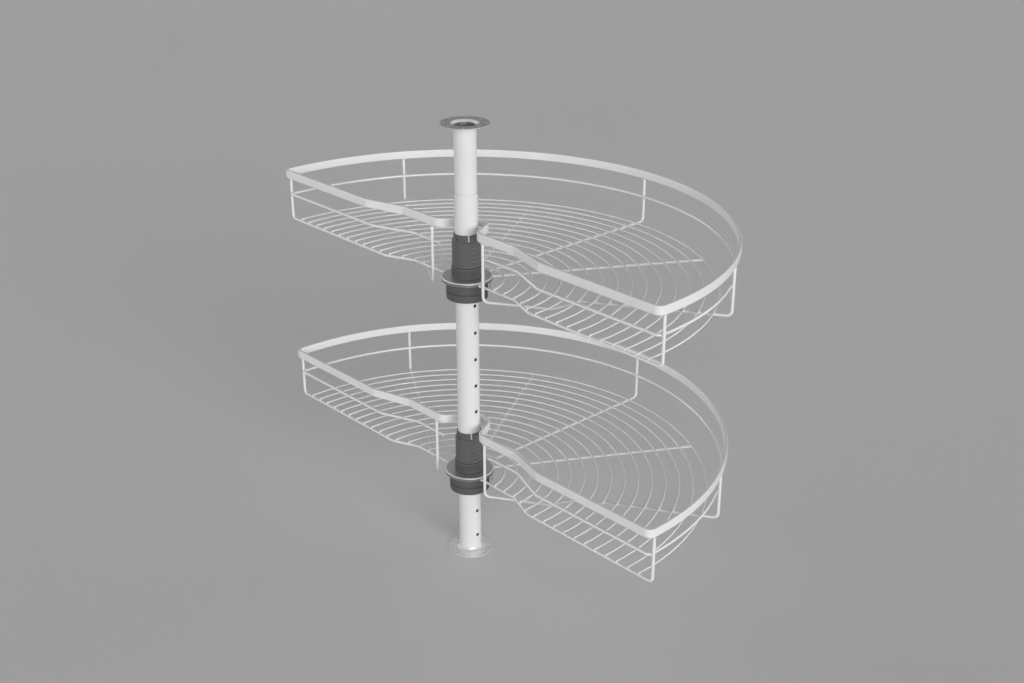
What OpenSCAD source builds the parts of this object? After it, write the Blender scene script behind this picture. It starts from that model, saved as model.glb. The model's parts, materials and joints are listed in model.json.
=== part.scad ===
// Two-tier half-moon carousel for a corner cupboard: two D-shaped wire baskets
// that turn on a telescopic column, each on its own clamped height collar.
// Frame: the origin is the centre of the base flange's underside, +Z runs up
// the column, -Y is the open front of the baskets and +X is their right side.

/* [Column] */
// Height over both flanges with the column set as shown
column_h = 637; // [610:1:690]
// Outer diameter of the lower tube
tube_od = 32; // [30:0.5:34]
// Wall of the lower tube
tube_wall = 0.8; // [0.8:0.1:1.2]
// Height of the lower tube's open end above the floor
lower_tube_top = 543; // [532:1:552]
// Wall of the upper, sliding tube
inner_wall = 1.2; // [1:0.1:1.5]
// Length of the upper tube that stays inside the lower one
engagement = 150; // [120:5:180]
// Radial running clearance between the two tubes
slide_gap = 0.05; // [0.02:0.01:0.1]
// Height of the lowest adjusting hole
first_hole_z = 26; // [22:1:30]
// Distance from one adjusting hole to the next
hole_pitch = 40; // [36:1:44]
// Number of adjusting holes
hole_count = 10; // [6:1:11]
// Diameter of an adjusting hole
hole_d = 5; // [3:0.5:6]

/* [Flanges] */
// Diameter of the round flange at each end of the column
flange_d = 66; // [64:1:72]
// Thickness of the flange plate
flange_t = 1; // [0.8:0.1:2.5]
// Radius of the drawn neck that blends the plate into the tube
neck_r = 5.5; // [4:0.5:7]
// Pitch circle diameter of the screw holes
screw_pcd = 56; // [54:1:58]
// Number of screw holes in each flange
screw_count = 8; // [4:1:8]
// Diameter of a screw hole
screw_d = 4.5; // [3.5:0.5:5]

/* [Tiers] */
// Height of the lower basket's floor wires
lower_floor_z = 130.4; // [125:0.1:150]
// Distance between the two baskets' floors
tier_pitch = 294.9; // [280:0.1:296]

/* [Basket] */
// Outer radius of the rim's big arc
rim_r = 375; // [340:1:400]
// Distance of the arc centre in front of the column axis
arc_offset = 18.85; // [10:0.05:24]
// Thickness of the rim band
rim_t = 4.5; // [4:0.5:6]
// Height of the rim band
rim_h = 12; // [8:0.5:14]
// Height of the rim's top edge above the floor wires
basket_h = 75.5; // [65:0.5:90]
// Height of the middle rail above the floor wires
rail_h = 36.5; // [28:0.5:42]
// Diameter of the frame wires: rail, front wires, braces and spokes
frame_wire_d = 4; // [3:0.25:4.5]
// Diameter of the floor wires
floor_wire_d = 2.6; // [2:0.1:3]
// Distance from the uprights in to the outermost floor wire
floor_margin = 22.5; // [16:0.5:30]
// Radius of the innermost floor wire
floor_inner_r = 63.95; // [60:0.05:70]
// Number of floor wires
floor_count = 16; // [10:1:18]
// Radius of the small chamfer along the rim band
rim_chamfer = 0.6; // [0.2:0.1:1]

/* [Front edge] */
// Distance of the rim's outer front face from the column axis, beside the corners
front_outer = 35.6; // [32:0.2:40]
// Distance of the rim's front face from the column axis, beside the notch
front_inner = 18; // [16:0.5:20]
// Distance of the front wires from the column axis, beside the corners
wire_outer = 24.4; // [22:0.2:26]
// Distance of the front wires from the column axis, beside the notch
wire_inner = 7; // [5:0.5:9]
// Where the rim leaves the outer front line
rim_bend_out = 174; // [160:1:180]
// Where the rim reaches the inner front line
rim_bend_in = 112; // [104:1:120]
// Where the front wire leaves the outer front line
wire_bend_out = 146; // [140:1:156]
// Where the front wire reaches the inner front line
wire_bend_in = 104; // [96:1:110]
// Where the rail leaves the outer front line
rail_bend_out = 167; // [160:1:176]
// Where the rail reaches the inner front line
rail_bend_in = 106; // [98:1:112]
// Distance of the rail from the column axis, beside the notch
rail_inner = 5; // [2:0.5:8]
// Half the width that the rail leaves open at the notch
rail_end_x = 47.5; // [44:0.5:52]
// Radius of the rim's front corners
rim_corner_r = 8; // [6:1:16]
// Radius of the rail's front corners
rail_corner_r = 6; // [5:0.5:9]
// Bend radius where a wire turns up
wire_bend_r = 7; // [5:0.5:10]
// Bend radius in the wave of the front edge
wave_bend_r = 22; // [12:1:26]

/* [Notch] */
// Radius of the rim's notch round the column, on the centre of the band
notch_r = 27.5; // [26:0.5:32]
// Half the width of the notch where its flanks would meet the front edge
notch_mouth = 39; // [36:0.5:44]
// Radius of the rim's bend at the notch mouth
notch_bend_r = 14; // [8:1:16]

/* [Under wires] */
// Distance of the braces' inner uprights from the middle
brace_inner_x = 51.3; // [50:0.1:60]
// Direction of the side braces' outer ends, from straight back
brace_angle = 61.8; // [56:0.2:66]
// Drop of the braces below the front wires at the notch
brace_drop = 15; // [10:0.5:18]
// Distance from the notch at which a brace starts to rise
brace_rise_start = 94; // [80:1:100]
// Distance from the notch at which a brace has risen
brace_rise_end = 134; // [128:1:160]
// Direction of the two spokes, from straight back
spoke_angle = 30.5; // [24:0.5:36]
// Length of a spoke beyond the outermost floor wire
spoke_over = 2.4; // [2:0.2:6]

/* [Hub] */
// Radius of the hub disc that the wires are welded to
disc_r = 35; // [33:0.5:38]
// Thickness of the hub disc
disc_t = 5; // [4:0.25:6]
// Height of the hub disc's top above the floor wires
disc_rise = 1.2; // [0.5:0.1:1.5]
// Outer radius of the plastic bearing housing and of the support cup
cup_r = 28.5; // [26.5:0.25:30]
// Height of the bearing housing under the disc
housing_h = 14.2; // [12:0.1:16]
// Height of the support cup
cup_h = 10.8; // [9:0.2:14]
// Thickness of the slide ring that carries the basket
slide_ring_t = 0.9; // [0.6:0.1:1.5]
// Radial step from the cup in to the slide ring
slide_ring_step = 1.2; // [0.6:0.1:2]
// Radius of the collet's journal inside the hub
journal_r = 18.4; // [18.2:0.05:18.8]
// Radial running clearance of the hub and of the clamp ring
run_gap = 0.05; // [0.02:0.01:0.1]
// Clearance between parts that are fixed to each other
seat_gap = 0.02; // [0.01:0.01:0.04]
// Width of the folded stop tab under the disc
tab_w = 10; // [6:1:14]
// Length of the folded stop tab
tab_h = 15; // [10:1:18]

/* [Height collar] */
// Height of the retaining ring over the disc
retainer_h = 1.9; // [1.5:0.1:3]
// Height of the knurled clamp ring
clamp_h = 12.9; // [11:0.1:15]
// Outer radius of the clamp ring
clamp_r = 20.7; // [20.5:0.1:24]
// Number of ribs round the clamp ring
clamp_ribs = 40; // [24:2:60]
// Depth of the grooves between the ribs
clamp_groove = 0.9; // [0.5:0.1:1.2]
// Radius of the collet body
body_r = 19.6; // [19.4:0.1:21]
// Height of the collet body
body_h = 35.9; // [32:0.1:40]
// Height of the sloping shoulder under the fingers
shoulder_h = 2.3; // [1.5:0.1:3]
// Radial step of that shoulder
shoulder_step = 1.7; // [1:0.1:2]
// Height of the split fingers and their shoulder over the body
finger_h = 10.6; // [8:0.1:12]
// Radius of the fingers' tips
finger_r = 17.2; // [17.1:0.1:18.4]
// Width of the slots between the fingers
slot_w = 2.2; // [1.2:0.1:3]
// Number of fingers
finger_count = 6; // [4:1:8]
// Number of grip ridges on each side
ridge_count = 5; // [3:1:5]
// Distance from one grip ridge to the next
ridge_pitch = 6.3; // [5:0.1:6.6]
// Height of the lowest grip ridge above the body's lower end
ridge_start = 2.8; // [2:0.1:4]

/* [Column lock] */
// Direction of the locking screw, from straight back towards the left
lock_turn = 49; // [0:1:60]
// Height of the locking screw below the lower tube's open end
lock_below_top = 14; // [10:1:18]
// Distance across the flats of the weld nut
lock_nut_af = 8; // [7:0.5:10]
// Thickness of the weld nut
lock_nut_t = 4; // [3:0.5:5]
// Diameter of the locking screw
lock_screw_d = 5; // [4:0.5:5]

/* [Hidden] */
$fn = 96;
wire_fn = 24;
lap = 0.3;
swell = 0.03;
TIERS = ["lower", "upper"];

// Colours
steel_paint = [0.87, 0.88, 0.89];
bright_steel = [0.78, 0.79, 0.81];
plate_steel = [0.55, 0.56, 0.57];
dark_plastic = [0.27, 0.27, 0.28];
white_nylon = [0.9, 0.9, 0.87];

// Column
tube_r = tube_od / 2;
bore_r = tube_r - tube_wall;
inner_r = bore_r - slide_gap;
inner_bore_r = inner_r - inner_wall;
neck_h = flange_t + neck_r;
plug_flange_t = 4;
plug_insert = 14;

// Basket, in its own frame: z = 0 is the plane of the floor wires' centres
wire_r = frame_wire_d / 2;
floor_wire_r = floor_wire_d / 2;
wire_z = -wire_r - floor_wire_r;
rim_mid_r = rim_r - rim_t / 2;
rim_bottom = basket_h - rim_h;
post_r = rim_mid_r;
rail_r = post_r - frame_wire_d;
rim_front_y = -front_outer + rim_t / 2;
rim_inner_y = -front_inner + rim_t / 2;
wire_front_y = -wire_outer;
wire_inner_y = -wire_inner;
rail_front_y = wire_front_y - frame_wire_d;
low_z = wire_z - brace_drop;
disc_top = disc_rise;
disc_bottom = disc_top - disc_t;
floor_overhang = 0.6;
floor_r = post_r - floor_margin;
floor_pitch = (floor_r - floor_inner_r) / (floor_count - 1);
spoke_reach = spoke_over - arc_offset * cos(spoke_angle)
    + sqrt(pow(floor_r, 2) - pow(arc_offset * sin(spoke_angle), 2));

// Hub and collar, in the basket's frame
housing_top = disc_bottom - seat_gap;
housing_bottom = housing_top - housing_h;
slide_top = housing_bottom - seat_gap;
slide_bottom = slide_top - slide_ring_t;
cup_top = slide_bottom - seat_gap;
cup_bottom = cup_top - cup_h;
retainer_bottom = disc_top + 2 * run_gap;
retainer_top = retainer_bottom + retainer_h;
clamp_bottom = retainer_top + run_gap;
clamp_top = clamp_bottom + clamp_h;
body_bottom = clamp_top + run_gap;
body_top = body_bottom + body_h;
finger_top = body_top + finger_h;
collet_bore_r = tube_r + run_gap;
disc_bore_r = journal_r + 0.6;

// ---------- helpers ----------

function unit(v) = v / norm(v);
// Angle between two unit vectors
function turn(u, v) = atan2(norm(cross(u, v)), u * v);
// Matrix whose columns are the axes x, y, z and the origin o
function frame(x, y, z, o) = [
    [x[0], y[0], z[0], o[0]],
    [x[1], y[1], z[1], o[1]],
    [x[2], y[2], z[2], o[2]],
    [0, 0, 0, 1]];
// Reference direction that is not along d
function upright(d) = abs(d[2]) > 0.9 ? [1, 0, 0] : [0, 0, 1];
// Length that a bend of radius r takes from each side of its corner
function trim(u, v, r) = r * tan(turn(u, v) / 2);
// Mirror image of a list of points in the plane x = 0
function mirrored(pts) = [for (p = pts) [-p[0], p[1], p[2]]];
// Height of a tier's floor
function floor_z(tier) = lower_floor_z + (tier == "upper" ? tier_pitch : 0);

// First child swept in a straight line from a to b
module straight(a, b) {
    d = unit(b - a);
    side = unit(cross(upright(d), d));
    multmatrix(frame(side, cross(d, side), d, a))
        linear_extrude(norm(b - a)) children();
}

// First child swept round the corner p between the directions u and v
module elbow(p, u, v, r) {
    axis = unit(cross(u, v));
    start = p - u * trim(u, v, r);
    centre = p + unit(v - u) * r / cos(turn(u, v) / 2);
    multmatrix(frame(unit(start - centre), u, axis, centre))
        rotate_extrude(angle = turn(u, v)) translate([r, 0]) children();
}

// Straight runs of the first child along the points, joined by bends of the second,
// which is a little thicker so that each run ends inside the bend. The first and the
// last run start and end at the points, or that far beyond them.
module bent(pts, bends, beyond = [0, 0]) {
    last = len(pts) - 1;
    dirs = [for (i = [0:last - 1]) unit(pts[i + 1] - pts[i])];
    trims = [for (i = [0:last])
        i == 0 ? -beyond[0] : i == last ? -beyond[1] :
        trim(dirs[i - 1], dirs[i], bends[i - 1]) - lap];
    for (i = [0:last - 1])
        straight(pts[i] + dirs[i] * trims[i], pts[i + 1] - dirs[i] * trims[i + 1])
            children(0);
    for (i = [1:last - 1])
        elbow(pts[i], dirs[i - 1], dirs[i], bends[i - 1]) children(1);
}

// First child swept along an arc about the point c in a level plane
module level_arc(c, r, from, to) {
    translate(c) rotate([0, 0, from])
        rotate_extrude(angle = to - from) translate([r, 0]) children();
}

// Centre of a corner of radius r between the arc of radius big and the front line y
function corner_x(big, y, r) = sqrt(pow(big - r, 2) - pow(y + r + arc_offset, 2));
// Direction of that corner's centre from the arc's centre
function corner_turn(big, y, r) = atan2(y + r + arc_offset, corner_x(big, y, r));

// Big arc of the first child with a rounded front corner of the second at each end
module half_moon(big, y, r) {
    from = corner_turn(big, y, r);
    over = lap * 180 / (PI * big);
    level_arc([0, -arc_offset, 0], big, from - over, 180 - from + over) children(0);
    for (side = [0, 1]) mirror([side, 0, 0])
        level_arc([corner_x(big, y, r), y + r, 0], r, -90, from) children(1);
}

module round_wire(swell = 0) {
    circle(r = wire_r + swell, $fn = wire_fn);
}

module rim_profile(swell = 0) {
    w = rim_t / 2 + swell;
    h = rim_h / 2 + swell;
    c = rim_chamfer;
    polygon([[-w + c, -h], [w - c, -h], [w, -h + c], [w, h - c],
        [w - c, h], [-w + c, h], [-w, h - c], [-w, -h + c]]);
}

// Ring of revolution between two radii
module ring(inner, outer, bottom, height) {
    translate([0, 0, bottom]) difference() {
        cylinder(r = outer, h = height);
        translate([0, 0, -1]) cylinder(r = inner, h = height + 2);
    }
}

// ---------- column ----------

// Pressed flange with a drawn neck, seen from its flat face upwards
module flange(neck_outer, neck_inner) {
    difference() {
        rotate_extrude() difference() {
            union() {
                translate([neck_inner, 0])
                    square([flange_d / 2 - neck_inner, flange_t]);
                translate([neck_inner, 0])
                    square([neck_outer + neck_r - neck_inner, neck_h]);
            }
            translate([neck_outer + neck_r, neck_h]) circle(r = neck_r);
            mouth_corner(neck_inner, min(neck_r + neck_outer - neck_inner, neck_h));
        }
        for (i = [0:screw_count - 1])
            rotate([0, 0, i * 360 / screw_count]) translate([screw_pcd / 2, 0, -1])
                cylinder(d = screw_d, h = flange_t + 2);
    }
}

// Corner that is cut away to round the mouth of a flange
module mouth_corner(x, r) {
    difference() {
        translate([x - 1, -1]) square([r + 1, r + 1]);
        translate([x + r, r]) circle(r = r);
    }
}

module base_flange() {
    color(bright_steel) flange(tube_r, bore_r);
}

module top_flange() {
    color(bright_steel) translate([0, 0, column_h]) mirror([0, 0, 1])
        flange(inner_r, inner_bore_r);
}

module outer_tube() {
    color(steel_paint) difference() {
        ring(bore_r, tube_r, neck_h, lower_tube_top - neck_h);
        for (i = [0:hole_count - 1])
            translate([0, 0, first_hole_z + i * hole_pitch]) rotate([0, 90, 0])
                cylinder(d = hole_d, h = tube_od);
        translate([0, 0, lower_tube_top - lock_below_top]) rotate([-90, 0, lock_turn])
            cylinder(d = lock_screw_d + 2 * seat_gap, h = tube_od);
    }
}

module inner_tube() {
    bottom = lower_tube_top - engagement;
    color(steel_paint)
        ring(inner_bore_r, inner_r, bottom, column_h - neck_h - bottom);
}

module guide_plug() {
    bottom = lower_tube_top - engagement - plug_flange_t - seat_gap;
    insert_r = inner_bore_r - seat_gap;
    top = plug_flange_t + plug_insert;
    color(white_nylon) translate([0, 0, bottom]) rotate_extrude()
        polygon([[0, 0], [inner_r - 1, 0], [inner_r, 1], [inner_r, plug_flange_t],
            [insert_r, plug_flange_t], [insert_r, top], [insert_r - 2.5, top],
            [insert_r - 2.5, 2], [0, 2]]);
}

module lock_nut() {
    z = lower_tube_top - lock_below_top;
    color(bright_steel) rotate([0, 0, lock_turn]) difference() {
        translate([0, tube_r - 1, z]) rotate([-90, 30, 0])
            cylinder(d = lock_nut_af / cos(30), h = lock_nut_t + 1, $fn = 6);
        cylinder(r = tube_r + seat_gap, h = column_h);
        translate([0, 0, z]) rotate([-90, 0, 0])
            cylinder(d = lock_screw_d + 2 * seat_gap, h = tube_od);
    }
}

module lock_screw() {
    z = lower_tube_top - lock_below_top;
    tip = bore_r + seat_gap;
    length = tube_r + lock_nut_t + 1 - tip;
    color(plate_steel) rotate([0, 0, lock_turn]) translate([0, tip, z])
        rotate([-90, 0, 0]) difference() {
            cylinder(d = lock_screw_d, h = length);
            translate([0, 0, length - 2.5]) cylinder(d = 2.9, h = 3, $fn = 6);
        }
}

// ---------- height collar ----------

module collet(tier) {
    slot_bottom = body_top + 0.9;
    edge = 0.6;
    color(dark_plastic) translate([0, 0, floor_z(tier)]) difference() {
        union() {
            rotate_extrude() polygon([[collet_bore_r, cup_bottom], [journal_r, cup_bottom],
                [journal_r, body_bottom], [body_r - edge, body_bottom],
                [body_r, body_bottom + edge], [body_r, body_top],
                [body_r - shoulder_step, body_top + shoulder_h],
                [finger_r, finger_top], [collet_bore_r, finger_top]]);
            for (side = [0, 180]) rotate([0, 0, side]) grip_ridges();
        }
        for (i = [0:finger_count - 1])
            rotate([0, 0, -90 + i * 360 / finger_count])
                translate([0, -slot_w / 2, slot_bottom])
                    cube([body_r + 1, slot_w, finger_h]);
    }
}

// Level ridges for the fingers, on the collet's +X side
module grip_ridges() {
    half_angle = 28;
    proud = 0.3;
    ridge_h = 1.1;
    for (i = [0:ridge_count - 1])
        translate([0, 0, body_bottom + ridge_start + i * ridge_pitch])
            rotate([0, 0, -half_angle])
                rotate_extrude(angle = 2 * half_angle)
                    translate([body_r - 1, 0]) square([1 + proud, ridge_h]);
}

module support_cup(tier) {
    round_r = 1.5;
    color(dark_plastic) translate([0, 0, floor_z(tier)]) rotate_extrude() difference() {
        translate([journal_r + seat_gap, cup_bottom])
            square([cup_r - journal_r - seat_gap, cup_h]);
        outer_corner(cup_r, cup_bottom, round_r);
    }
}

// Cuts a lower outer corner at radius x and height z down to a round edge
module outer_corner(x, z, r) {
    difference() {
        translate([x - r, z - 1]) square([r + 1, r + 1]);
        translate([x - r, z + r]) circle(r = r);
    }
}

module slide_ring(tier) {
    color(dark_plastic) translate([0, 0, floor_z(tier)])
        ring(journal_r + seat_gap, cup_r - slide_ring_step, slide_bottom, slide_ring_t);
}

module retaining_ring(tier) {
    color(dark_plastic) translate([0, 0, floor_z(tier)])
        ring(journal_r + seat_gap, body_r, retainer_bottom, retainer_h);
}

// Knurled ring: upright ribs between a smooth lip below and a smooth band above
module clamp_ring(tier) {
    lip = 1.3;
    band = 1.7;
    edge = 0.4;
    rib_w = 1.5;
    hole_r = journal_r + run_gap;
    core_r = clamp_r - clamp_groove;
    color(dark_plastic) translate([0, 0, floor_z(tier)]) union() {
        rotate_extrude() polygon([[hole_r, clamp_bottom], [clamp_r - edge, clamp_bottom],
            [clamp_r, clamp_bottom + edge], [clamp_r, clamp_bottom + lip],
            [core_r, clamp_bottom + lip], [core_r, clamp_top - band],
            [clamp_r, clamp_top - band], [clamp_r, clamp_top - edge],
            [clamp_r - edge, clamp_top], [hole_r, clamp_top]]);
        for (i = [0:clamp_ribs - 1])
            rotate([0, 0, i * 360 / clamp_ribs])
                translate([core_r - 0.3, -rib_w / 2, clamp_bottom + lip - 0.2])
                    cube([clamp_groove + 0.25, rib_w, clamp_h - lip - band + 0.4]);
    }
}

// ---------- basket ----------

module bearing_housing(tier) {
    round_r = 1;
    color(dark_plastic) translate([0, 0, floor_z(tier)]) rotate_extrude() difference() {
        translate([journal_r + run_gap, housing_bottom])
            square([cup_r - journal_r - run_gap, housing_h]);
        outer_corner(cup_r, housing_bottom, round_r);
    }
}

module hub_disc(tier) {
    edge_r = 1.8;
    tab_t = 2;
    tab_turn = 49;
    color(plate_steel) translate([0, 0, floor_z(tier)]) {
        rotate_extrude() difference() {
            translate([disc_bore_r, disc_bottom]) square([disc_r - disc_bore_r, disc_t]);
            translate([0, disc_top]) mirror([0, 1]) outer_corner(disc_r, 0, edge_r);
        }
        rotate([0, 0, tab_turn])
            translate([disc_r - 2 - tab_t, -tab_w / 2, disc_bottom - tab_h])
                cube([tab_t, tab_w, tab_h + 1]);
    }
}

// Rim's front edge on the right side, from the corner to the notch round the column
module rim_front() {
    mouth = [notch_mouth, rim_inner_y, 0];
    touch = notch_touch();
    bent([[corner_x(rim_mid_r, rim_front_y, rim_corner_r), rim_front_y, 0],
        [rim_bend_out, rim_front_y, 0], [rim_bend_in, rim_inner_y, 0], mouth,
        notch_r * [cos(touch), sin(touch), 0]],
        [4, 4, notch_bend_r], [lap, lap]) {
            rim_profile();
            rim_profile(swell);
        }
}

// Direction in which the notch's flank runs into its arc
function notch_touch() =
    atan2(rim_inner_y, notch_mouth) + acos(notch_r / norm([notch_mouth, rim_inner_y]));

module rim(tier) {
    color(steel_paint) translate([0, 0, floor_z(tier) + basket_h - rim_h / 2]) {
        half_moon(rim_mid_r, rim_front_y, rim_corner_r) {
            rim_profile();
            rim_profile(swell);
        }
        for (side = [0, 1]) mirror([side, 0, 0]) rim_front();
        level_arc([0, 0, 0], notch_r, notch_touch(), 180 - notch_touch())
            rim_profile(swell);
    }
}

module rail(tier) {
    color(steel_paint) translate([0, 0, floor_z(tier) + rail_h]) {
        half_moon(rail_r, rail_front_y, rail_corner_r) {
            round_wire();
            round_wire(swell);
        }
        for (side = [0, 1]) mirror([side, 0, 0])
            bent([[rail_corner_x(), rail_front_y, 0], [rail_bend_out, rail_front_y, 0],
                [rail_bend_in, -rail_inner, 0], [rail_end_x, -rail_inner - 1, 0]],
                [wave_bend_r, wave_bend_r], [lap, 0]) {
                    round_wire();
                    round_wire(swell);
                }
    }
}

// Where the rail's straight front begins
function rail_corner_x() = corner_x(rail_r, rail_front_y, rail_corner_r);

module front_wires(tier) {
    reach = rail_corner_r + frame_wire_d;
    post_x = rail_corner_x()
        + sqrt(pow(reach, 2) - pow(wire_front_y - rail_front_y - rail_corner_r, 2));
    hub_x = sqrt(pow(disc_r, 2) - pow(abs(wire_inner_y) - wire_r, 2)) + run_gap;
    pts = [[post_x, wire_front_y, rim_bottom], [post_x, wire_front_y, wire_z],
        [wire_bend_out, wire_front_y, wire_z], [wire_bend_in, wire_inner_y, wire_z],
        [hub_x, wire_inner_y, wire_z]];
    color(steel_paint) translate([0, 0, floor_z(tier)])
        for (side = [0, 1]) mirror([side, 0, 0])
            bent(pts, [wire_bend_r, wave_bend_r, wave_bend_r]) {
                round_wire();
                round_wire(swell);
            }
}

// Front line of the floor wires at the distance x from the middle
function floor_front(x) =
    x > wire_bend_out ? wire_front_y :
    x < wire_bend_in ? wire_inner_y :
    wire_inner_y + (wire_front_y - wire_inner_y) * (x - wire_bend_in)
        / (wire_bend_out - wire_bend_in);
// Angle at which a floor wire of radius r ends on the front wire
function floor_end(r) = asin((floor_front(r) - floor_overhang + arc_offset) / r);

module floor_wires(tier) {
    color(steel_paint) translate([0, 0, floor_z(tier)])
        for (i = [0:floor_count - 1]) {
            r = floor_r - i * floor_pitch;
            level_arc([0, -arc_offset, 0], r, floor_end(r), 180 - floor_end(r))
                circle(r = floor_wire_r, $fn = wire_fn);
        }
}

module side_braces(tier) {
    outer = [post_r * sin(brace_angle), post_r * cos(brace_angle) - arc_offset, 0];
    inner = [brace_inner_x, rim_inner_y - 1, 0];
    d = unit(outer - inner);
    up = [0, 0, 1];
    pts = [outer + up * rim_bottom, outer + up * wire_z,
        inner + d * brace_rise_end + up * wire_z,
        inner + d * brace_rise_start + up * low_z,
        inner + up * low_z, inner + up * rim_bottom];
    color(steel_paint) translate([0, 0, floor_z(tier)])
        for (side = [0, 1]) mirror([side, 0, 0])
            bent(pts, [wire_bend_r, 12, 12, wire_bend_r]) {
                round_wire();
                round_wire(swell);
            }
}

module back_support(tier) {
    back_y = post_r - arc_offset;
    color(steel_paint) translate([0, 0, floor_z(tier)])
        bent([[0, back_y, rim_bottom], [0, back_y, wire_z], [0, disc_r + run_gap, wire_z]],
            [wire_bend_r]) {
                round_wire();
                round_wire(swell);
            }
}

module spokes(tier) {
    color(steel_paint) translate([0, 0, floor_z(tier)])
        for (side = [-1, 1]) {
            d = [side * sin(spoke_angle), cos(spoke_angle), 0];
            straight(d * (disc_r + run_gap) + [0, 0, wire_z],
                d * spoke_reach + [0, 0, wire_z]) round_wire();
        }
}

base_flange();
outer_tube();
lock_nut();
lock_screw();
inner_tube();
guide_plug();
top_flange();
for (tier = TIERS) {
    collet(tier);
    support_cup(tier);
    slide_ring(tier);
    retaining_ring(tier);
    clamp_ring(tier);
    bearing_housing(tier);
    hub_disc(tier);
    rim(tier);
    rail(tier);
    front_wires(tier);
    floor_wires(tier);
    side_braces(tier);
    back_support(tier);
    spokes(tier);
}
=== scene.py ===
"""Looks of the two-tier half-moon carousel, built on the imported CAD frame.

+Z is up and -Y is the baskets' open front. Sizes are in millimetres until add_mesh turns
them into Blender's metres. In the materials, noise scales are per metre and bump distances
are in metres.
"""

import json
import math

import bmesh
import bpy
import numpy as np
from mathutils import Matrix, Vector, noise


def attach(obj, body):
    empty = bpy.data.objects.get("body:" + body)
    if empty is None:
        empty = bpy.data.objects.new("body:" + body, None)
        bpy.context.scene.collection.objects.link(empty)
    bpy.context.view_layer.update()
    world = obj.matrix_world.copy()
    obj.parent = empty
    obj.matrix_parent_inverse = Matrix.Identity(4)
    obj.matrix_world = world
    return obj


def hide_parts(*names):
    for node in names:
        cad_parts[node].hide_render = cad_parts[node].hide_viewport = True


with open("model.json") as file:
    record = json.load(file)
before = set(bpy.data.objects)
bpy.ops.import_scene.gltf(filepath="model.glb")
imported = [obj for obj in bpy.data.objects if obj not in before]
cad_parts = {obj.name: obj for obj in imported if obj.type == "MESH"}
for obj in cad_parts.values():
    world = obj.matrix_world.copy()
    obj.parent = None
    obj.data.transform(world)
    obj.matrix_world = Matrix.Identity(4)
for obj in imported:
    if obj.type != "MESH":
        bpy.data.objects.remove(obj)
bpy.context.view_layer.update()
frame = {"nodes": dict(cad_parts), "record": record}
NODES = frame["nodes"]
MM = 0.001
UP = np.array([0, 0, 1.0])

# Sizes of the flanges and the wire baskets, as in the CAD source
COLUMN_H, FLANGE_T = 637.0, 1.0
FLOOR_Z = {"lower": 130.4, "upper": 425.3}
ARC_OFFSET = 18.85
RIM_R, RIM_T, RIM_H, BASKET_H = 375.0, 4.5, 12.0, 75.5
RAIL_H, WIRE_R, FLOOR_WIRE_R = 36.5, 2.0, 1.3
FLOOR_R, FLOOR_INNER_R, FLOOR_COUNT = 350.25, 63.95, 16
FRONT_OUTER, FRONT_INNER = 35.6, 18.0
WIRE_OUTER, WIRE_INNER = 24.4, 7.0
RIM_BEND_OUT, RIM_BEND_IN = 174.0, 112.0
WIRE_BEND_OUT, WIRE_BEND_IN = 146.0, 104.0
RAIL_BEND_OUT, RAIL_BEND_IN, RAIL_INNER, RAIL_END_X = 167.0, 106.0, 5.0, 47.5
RAIL_END_STEP = 1.0
RIM_CORNER_R, RAIL_CORNER_R, WIRE_BEND_R, WAVE_BEND_R = 8.0, 6.0, 7.0, 22.0
RIM_WAVE_R, BRACE_WAVE_R = 5.0, 12.0
NOTCH_R, NOTCH_MOUTH, NOTCH_BEND_R = 27.5, 39.0, 14.0
BRACE_ANGLE, BRACE_DROP, BRACE_START, BRACE_END = 61.8, 15.0, 94.0, 134.0
BRACE_INNER_X, BRACE_INSET = 51.3, 1.0
SPOKE_ANGLE, SPOKE_OVER = 30.5, 2.4
DISC_R, FLOOR_OVERHANG, RUN_GAP = 35.0, 0.6, 0.05

# Lines and heights that follow from them
FLOOR_PITCH = (FLOOR_R - FLOOR_INNER_R) / (FLOOR_COUNT - 1)
FLOOR_RADII = [FLOOR_R - i * FLOOR_PITCH for i in range(FLOOR_COUNT)]
RIM_MID = RIM_R - RIM_T / 2
RIM_BOTTOM = BASKET_H - RIM_H
RIM_FRONT_Y, RIM_INNER_Y = -FRONT_OUTER + RIM_T / 2, -FRONT_INNER + RIM_T / 2
RAIL_R = RIM_MID - 2 * WIRE_R
WIRE_Z = -WIRE_R - FLOOR_WIRE_R
WIRE_FRONT_Y, WIRE_INNER_Y = -WIRE_OUTER, -WIRE_INNER
RAIL_FRONT_Y = WIRE_FRONT_Y - 2 * WIRE_R
BACK_Y = RIM_MID - ARC_OFFSET
HUB_X = math.sqrt(DISC_R**2 - (abs(WIRE_INNER_Y) - WIRE_R) ** 2) + RUN_GAP
SPOKE_SIN = math.sin(math.radians(SPOKE_ANGLE))
SPOKE_COS = math.cos(math.radians(SPOKE_ANGLE))
SPOKE_REACH = (SPOKE_OVER - ARC_OFFSET * SPOKE_COS
               + math.sqrt(FLOOR_R**2 - (ARC_OFFSET * SPOKE_SIN) ** 2))
SPOKES = [np.array([side * SPOKE_SIN, SPOKE_COS, 0.0]) for side in (-1, 1)]
BRACE_SIN = math.sin(math.radians(BRACE_ANGLE))
BRACE_COS = math.cos(math.radians(BRACE_ANGLE))

# Fineness of the meshes: degrees to a step of an arc, and sides round a section
BIG_ARC_STEP, BEND_STEP, RAIL_BEND_STEP, RAIL_CORNER_STEP, NOTCH_STEP = 1.25, 6.0, 3.0, 8.0, 5.0
FLOOR_STEP, INNER_FLOOR_STEP, INNER_FLOOR_BELOW_R = 2.0, 3.0, 150.0
WIRE_SIDES, FLOOR_WIRE_SIDES, COLLAR_SIDES, RIM_EDGE_STEPS = 14, 12, 20, 4
SAME_POINT = 1e-4
SHARP_ANGLE, NUGGET_SHARP_ANGLE = 35.0, 60.0
MITRE_LIMIT, STEEP = 0.6, 0.9

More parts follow.
